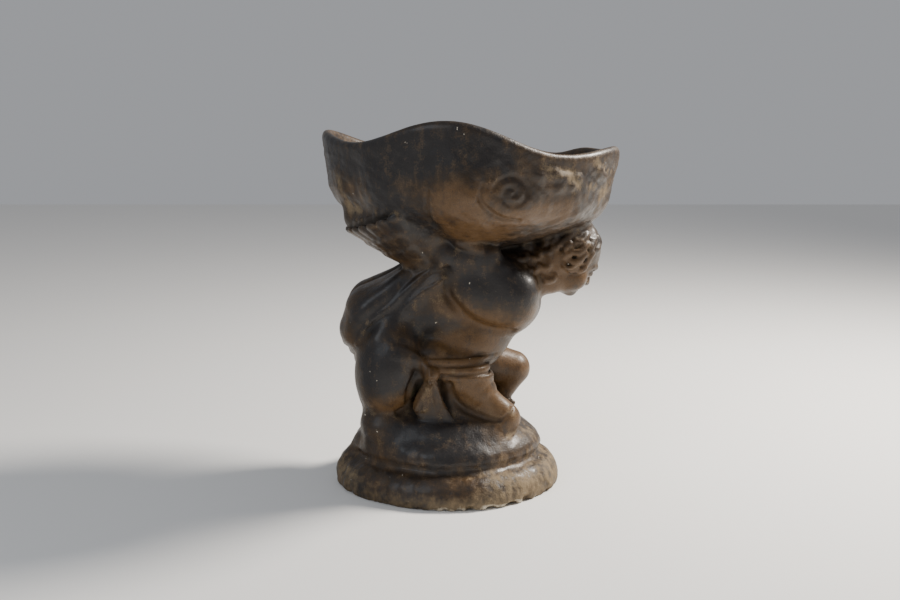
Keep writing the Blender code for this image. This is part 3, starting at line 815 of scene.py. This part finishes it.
for _ in range(3):
    seal(clay.block)
casting = solid("cherub_casting", *whole(*skin(clay)))
ease = casting.modifiers.new("Ease the grain", "SMOOTH")
ease.factor = 0.5
ease.iterations = 2
thin = casting.modifiers.new("Thin out", "DECIMATE")
thin.ratio = min(1.0, TRIANGLES / (2 * len(casting.data.polygons)))
bpy.context.view_layer.update()
worked = casting.evaluated_get(bpy.context.evaluated_depsgraph_get())
cast = bpy.data.meshes.new_from_object(worked)
casting.modifiers.clear()
casting.data = cast
cast.shade_smooth()
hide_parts("cherub_statue")
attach(casting, "root")

# The surface: a deep bronze-brown gloss, worn to tan on what stands proud, with painted shade and some dirt
# in the folds.
# It was brushed on and never evened out, so its tone varies; given places are painted warmer, others darker
# as painted shade and sky reflection, and others pale as painted sunlight and highlights.
WARM_PLACES = (
    ([(1.0, -5.0, 15.6), (3.5, -6.0, 13.8), (7.0, -5.5, 12.8), (10.0, -5.0, 14.4)], 1.7),
    ([(-0.5, -5.5, 11.0), (5.0, -5.5, 10.4)], 1.8),
    ([(3.0, -8.0, 5.0), (6.0, -7.5, 3.2), (8.5, -6.0, 1.5)], 2.6),
    ([(-7.5, -7.5, 3.2), (-5.6, -7.4, 3.4)], 1.6), ([(9.5, 3.5, 7.0), (9.0, 4.0, 3.0)], 2.6),
    ([(2.0, -15.4, 30.0), (2.6, -14.0, 27.6), (4.4, -8.4, 24.4)], 3.2),
    ([(6.2, -13.4, 27.4), (10.0, -13.0, 27.6), (14.3, -10.6, 27.6)], 1.4),
    ([(13.0, -2.5, 18.6), (16.0, -2.6, 19.6)], 2.6), ([(-1.2, -7.6, 7.8), (6.0, -7.2, 8.0)], 1.5),
    ([(-9.0, -5.0, 25.6), (-4.0, -4.0, 23.0)], 2.0),
)
# Places painted pale as sunlight and highlights: the lit right of the base and ring, the bowl's right end and
# leaves, the thigh's front edge, the raised knee, the top of the hair and the sash ridges; in part real wear
# and chips along the base's lower edge.
SUNLIT_AND_WORN_PLACES = (
    ([(-13.4, -5.6, 31.0), (-11.2, -6.3, 28.0), (-9.0, -7.2, 26.6), (-5.6, -8.2, 25.6)], 1.2),
    ([(12.0, -13.6, 33.3), (14.2, -12.2, 32.2), (16.6, -10.2, 30.8)], 1.1),
    ([(18.2, -9.0, 33.4), (20.4, -5.0, 32.0), (19.9, -4.7, 29.3), (17.4, -9.0, 30.6)], 0.9),
    ([(-9.6, -6.6, 2.9), (-8.5, -5.3, 0.7)], 0.6),
    ([(6.2, -7.9, 5.6), (7.6, -7.6, 3.6), (9.2, -6.8, 1.2)], 0.8),
    ([(7.0, -11.4, -6.0), (11.0, -9.0, -5.6), (13.6, -4.0, -5.0), (14.0, 4.0, -5.2)], 3.0),
    ([(8.0, -6.6, -2.4), (10.6, -2.4, -2.4)], 1.6), ([(-12.0, -8.0, -6.4), (-14.0, 0.0, -6.4)], 1.2),
    ([(-1.0, -13.8, -8.8), (5.0, -13.0, -8.8), (10.0, -10.4, -8.8)], 1.2),
    (top_fold, 0.3), (front_fold[:5], 0.25), ([(8.0, -2.1, 9.2), (10.4, 2.6, 6.6)], 0.7),
    ([(16.6, -2.0, 24.0), (18.6, -0.6, 22.4)], 1.2),
)
# Places painted darker as shade and sky reflection: the bowl's upper band and lower left, the arm, the flank,
# the back and haunch, under the bowl and under the thigh.
SHADE_AND_REFLECTION_PLACES = (
    ([(-15.0, -4.0, 34.6), (-8.5, -11.8, 34.0), (-2.0, -15.0, 34.6), (5.0, -16.0, 35.0)], 2.6),
    ([(4.4, -7.8, 18.8), (8.6, -7.8, 18.0)], 2.3), ([(-9.0, -6.8, 14.6), (-6.4, -6.4, 16.6)], 2.6),
    ([(-8.6, -8.2, 8.8), (-6.8, -8.6, 6.6)], 2.6), ([(-7.6, -11.8, 30.4), (-3.0, -10.0, 27.0)], 2.2),
    ([(0.0, -5.0, 13.2), (-3.0, -5.4, 12.4)], 1.4), ([(1.5, -7.6, 22.4), (7.0, -7.2, 21.4)], 2.0),
    ([(-4.0, -9.0, -1.2), (3.0, -9.6, -1.4)], 2.6),
)


def touched(points, places):
    """How strongly each point lies in any of the given places: 1 in the middle, fading to 0."""
    most = np.zeros(len(points))
    for line, radius in places:
        distance = strand([at(*p) for p in line], [radius * SHARE] * len(line))[2](*points.T)
        most = np.maximum(most, np.clip(0.5 - distance / (1.4 * radius * SHARE), 0, 1))
    return most


points, normals = np.empty(len(cast.vertices) * 3), np.empty(len(cast.vertices) * 3)
cast.vertices.foreach_get("co", points)
cast.vertex_normals.foreach_get("vector", normals)
points, normals = points.reshape(-1, 3), normals.reshape(-1, 3)
# How hidden each point is from open space; it paints shade into the folds and hollows.
occlusion_shade = 1 - np.mean([clay.read(points + normals * d) / d for d in (0.003, 0.006, 0.0085)], axis=0)
ridge = 1 + np.mean([clay.read(points - normals * d) / d for d in (0.002, 0.004)], axis=0)
# The pale mask holds painted sunlight and highlights, partly real wear.
for name, values in (
    ("occlusion_shade", np.clip(occlusion_shade, 0, 1)),
    ("ridge", np.clip(ridge * 1.6, 0, 1)),
    ("warm", touched(points, WARM_PLACES)),
    ("pale", touched(points, SUNLIT_AND_WORN_PLACES)),
    ("shade_and_reflection", touched(points, SHADE_AND_REFLECTION_PLACES)),
):
    layer = cast.attributes.new(name, "FLOAT", "POINT")
    layer.data.foreach_set("value", values.astype(np.float32))


class Wire:
    """A socket that takes arithmetic, adding the Math nodes that it needs."""

    def __init__(self, finish, socket):
        self.finish, self.socket = finish, socket

    def math(self, operation, *values):
        return self.finish.node("ShaderNodeMath", {"operation": operation}, dict(enumerate(values)))

    def __add__(self, other):
        return self.math("ADD", self, other)

    def __sub__(self, other):
        return self.math("SUBTRACT", self, other)

    def __rsub__(self, other):
        return self.math("SUBTRACT", other, self)

    def __mul__(self, other):
        return self.math("MULTIPLY", self, other)

    def clamped(self):
        return self.math("MINIMUM", self.math("MAXIMUM", self, 0.0), 1.0)

    __radd__ = __add__


class Finish:
    """A material whose nodes are written as expressions."""

    def __init__(self, name):
        self.material = bpy.data.materials.new(name)
        self.material.use_nodes = True
        self.tree = self.material.node_tree
        self.shader = self.tree.nodes["Principled BSDF"]

    def node(self, kind, settings, sockets, output=0):
        """Any node, with its settings, its inputs by number or name, and the output that is read."""
        made = self.tree.nodes.new(kind)
        for key, value in settings.items():
            setattr(made, key, value)
        for key, value in sockets.items():
            named = [socket for socket in made.inputs if key in (socket.identifier, socket.name)]
            self.feed(made.inputs[key] if isinstance(key, int) else named[0], value)
        return Wire(self, made.outputs[output])

    def feed(self, socket, value):
        if isinstance(value, Wire):
            self.tree.links.new(value.socket, socket)
        else:
            socket.default_value = value

    def dress(self, values):
        """Feeds the shader's own sockets by name."""
        for name, value in values.items():
            self.feed(self.shader.inputs[name], value)

    def mix(self, share, one, other):
        sockets = {"Factor_Float": share, "A_Color": one, "B_Color": other}
        return self.node("ShaderNodeMix", {"data_type": "RGBA"}, sockets, 2)

    def cloud(self, place, scale, detail=4.0):
        return self.node("ShaderNodeTexNoise", {}, {"Vector": place, "Scale": scale, "Detail": detail}) - 0.5

    def read(self, name):
        return self.node("ShaderNodeAttribute", {"attribute_name": name}, {}, "Fac")


DARK_BROWN = (0.015, 0.0125, 0.0120, 1)
MID_BROWN = (0.040, 0.023, 0.010, 1)
WARM_BROWN = (0.100, 0.052, 0.018, 1)
WORN_BROWN = (0.150, 0.096, 0.050, 1)
# Tan for real wear on raised forms, also used for painted sunlight and highlights.
SUNLIT_AND_RUBBED_TAN = (0.235, 0.176, 0.105, 1)
# Near black for painted shade in the folds and hollows, with some dirt.
FOLD_DIRT_AND_SHADE = (0.010, 0.008, 0.006, 1)
MOSS = (0.036, 0.036, 0.014, 1)
CHALK = (0.640, 0.580, 0.470, 1)

brown = Finish("glazed brown")
place = brown.node("ShaderNodeTexCoord", {}, {}, "Object")
broad, patchy = brown.cloud(place, 14.0), brown.cloud(place, 45.0, 6.0)
mottled, fine = brown.cloud(place, 130.0, 6.0), brown.cloud(place, 520.0, 3.0)
drawn_down = brown.node("ShaderNodeVectorMath", {"operation": "MULTIPLY"}, {0: place, 1: (1.0, 1.0, 0.28)})
streaks = brown.cloud(drawn_down, 95.0, 5.0)
occlusion_shade, ridge = brown.read("occlusion_shade"), brown.read("ridge")
# pale carries painted sunlight and highlights, with some real wear.
warm, pale, shade_and_reflection = brown.read("warm"), brown.read("pale"), brown.read("shade_and_reflection")
height = brown.node("ShaderNodeSeparateXYZ", {}, {0: place}, 2)
# Tone varies at random and is warmer in given places; it is painted darker as shade and sky reflection.
warmth_shade_and_reflection = 0.45 + warm * 0.75 - shade_and_reflection * 0.75 + broad * 1.1 + patchy * 0.9 + mottled * 0.6 + streaks * 0.6
warmth_shade_and_reflection = warmth_shade_and_reflection.clamped()
colour = brown.mix((warmth_shade_and_reflection * 2).clamped(), DARK_BROWN, MID_BROWN)
colour = brown.mix((warmth_shade_and_reflection * 2 - 1).clamped(), colour, WARM_BROWN)
grit = brown.cloud(place, 900.0, 2.0)
colour = brown.mix((grit * -2.2).clamped(), colour, DARK_BROWN)
worn = ((streaks * 2.4 + mottled * 1.8 + fine * 1.4 - 0.12) * 1.5).clamped()
colour = brown.mix(worn * 0.27, colour, WORN_BROWN)
soaked = ((streaks * -2.2 - mottled * 1.8 - grit * 1.2 - 0.15) * 1.6).clamped()
colour = brown.mix(soaked * 0.5, colour, DARK_BROWN)
# Tan on raised edges as real wear, and painted pale as sunlight and highlights in given places.
rubbed_and_sunlit = ridge * 0.8 + pale * 0.85 + patchy * 1.3 + mottled * 1.4 + streaks * 1.6 + grit * 1.6 - 0.62
rubbed_and_sunlit = (rubbed_and_sunlit * 1.4).clamped()
colour = brown.mix(rubbed_and_sunlit * 0.72, colour, SUNLIT_AND_RUBBED_TAN)
# Painted shade darkens the folds and hollows, with dirt mixed in at random.
dirt_and_shade = ((occlusion_shade * 1.3 + mottled * 0.5 + patchy * 0.5 + streaks * 0.6 - 0.30) * 1.3).clamped()
colour = brown.mix(dirt_and_shade * 0.85, colour, FOLD_DIRT_AND_SHADE)
mossy = ((broad * 2.0 + mottled * 1.2 + occlusion_shade * 0.5 - 0.55) * 2.5).clamped()
colour = brown.mix(mossy * 0.5, colour, MOSS)
# Paler towards the bottom of the base, and painted pale as sunlight in given places.
paler_low_and_sunlit = (0.026 - height) * 35.0 + mottled * 1.8 + streaks + patchy * 1.6 + pale * 0.7 - 0.2
paler_low_and_sunlit = paler_low_and_sunlit.clamped()
colour = brown.mix(paler_low_and_sunlit * 0.48, colour, SUNLIT_AND_RUBBED_TAN)
chipped = (0.010 - height) * 80.0 + mottled * 3.0 + patchy * 3.0 + pale * 1.3 + ridge * 0.4 - 1.55
chipped = chipped.clamped()
colour = brown.mix(chipped * 0.85, colour, CHALK)
shaken = brown.node("ShaderNodeTexNoise", {}, {"Vector": place, "Scale": 260.0, "Detail": 2.0}, "Color")
shaken = brown.node("ShaderNodeVectorMath", {"operation": "MULTIPLY"}, {0: shaken, 1: (0.007, 0.007, 0.007)})
scattered = brown.node("ShaderNodeVectorMath", {"operation": "ADD"}, {0: place, 1: shaken})
dots = {"Vector": scattered, "Scale": 120.0}
near_dot = brown.node("ShaderNodeTexVoronoi", {}, dots, "Distance")
dot_colour = brown.node("ShaderNodeTexVoronoi", {}, dots, "Color")
pick = brown.node("ShaderNodeSeparateColor", {}, {0: dot_colour}, 0)
rare = (pick - 0.965 + pale * 0.05 + paler_low_and_sunlit * 0.03) * 60.0
specks = (((0.14 - near_dot) * 14.0).clamped() * rare.clamped()).clamped()
colour = brown.mix(specks, colour, CHALK)
dull = (rubbed_and_sunlit * 0.55 + dirt_and_shade * 0.6 + paler_low_and_sunlit * 0.7 + specks + chipped + mossy * 0.3).clamped()
roughness = 0.48 + dull * 0.30 + fine * 0.25 + mottled * 0.35 + streaks * 0.2
coat = (0.16 + patchy * 0.4 - dull * 0.4).clamped()
relief = mottled * 1.1 + fine * 0.5 + patchy * 1.2 + paler_low_and_sunlit * 0.5 - chipped
uneven = brown.node("ShaderNodeBump", {}, {"Strength": 0.55, "Distance": 0.0011, "Height": relief})
brown.dress({"Base Color": colour, "Roughness": roughness, "Normal": uneven, "Specular IOR Level": 0.3})
brown.dress({"Coat Weight": coat, "Coat Roughness": 0.24})
cast.materials.clear()
cast.materials.append(brown.material)

# The studio: a plain pale floor, a warm soft lamp high on the right, a weak fill on the left and an even sky.
# The camera stands where the photograph was taken from.
FLOOR_EDGE = 4.0
floor_mesh = bpy.data.meshes.new("floor")
floor_corners = [(FLOOR_EDGE * x, FLOOR_EDGE * y, 0) for x, y in ((-1, -1), (1, -1), (1, 1), (-1, 1))]
floor_mesh.from_pydata(floor_corners, [], [(0, 1, 2, 3)])
floor = bpy.data.objects.new("floor", floor_mesh)
bpy.context.scene.collection.objects.link(floor)
paper = Finish("pale floor")
paper.dress({"Base Color": (0.82, 0.81, 0.79, 1), "Roughness": 0.9})
floor_mesh.materials.append(paper.material)

sky = bpy.data.worlds.new("studio")
sky.use_nodes = True
sky_light = sky.node_tree.nodes["Background"].inputs
sky_light["Color"].default_value = (0.93, 0.95, 1.0, 1)
sky_light["Strength"].default_value = 0.38
bpy.context.scene.world = sky


def soft_light(name, place, aim, size, power, colour):
    """A round soft lamp hung at place and turned towards aim."""
    lamp = bpy.data.lights.new(name, "AREA")
    lamp.shape = "DISK"
    lamp.size = size
    lamp.energy = power
    lamp.color = colour
    hung = bpy.data.objects.new(name, lamp)
    hung.location = place
    hung.rotation_euler = (Vector(aim) - Vector(place)).to_track_quat("-Z", "Y").to_euler()
    bpy.context.scene.collection.objects.link(hung)


MIDDLE = (0.02, 0, 0.25)
soft_light("key", (1.3, 0.35, 1.35), MIDDLE, 0.45, 80, (1.0, 0.94, 0.86))
soft_light("fill", (-1.3, -1.5, 1.5), MIDDLE, 1.3, 14, (0.85, 0.92, 1.0))

CAMERA_PLACE = (0.0054, -1.446, 0.498)
CAMERA_PITCH = 10.1
FOCAL_LENGTH = 44.8
SENSOR_WIDTH = 36
camera = bpy.data.objects.new("camera", bpy.data.cameras.new("camera"))
camera.location = CAMERA_PLACE
camera.rotation_euler = (math.radians(90 - CAMERA_PITCH), 0, 0)
camera.data.lens = FOCAL_LENGTH
camera.data.sensor_width = SENSOR_WIDTH
bpy.context.scene.collection.objects.link(camera)
bpy.context.scene.camera = camera
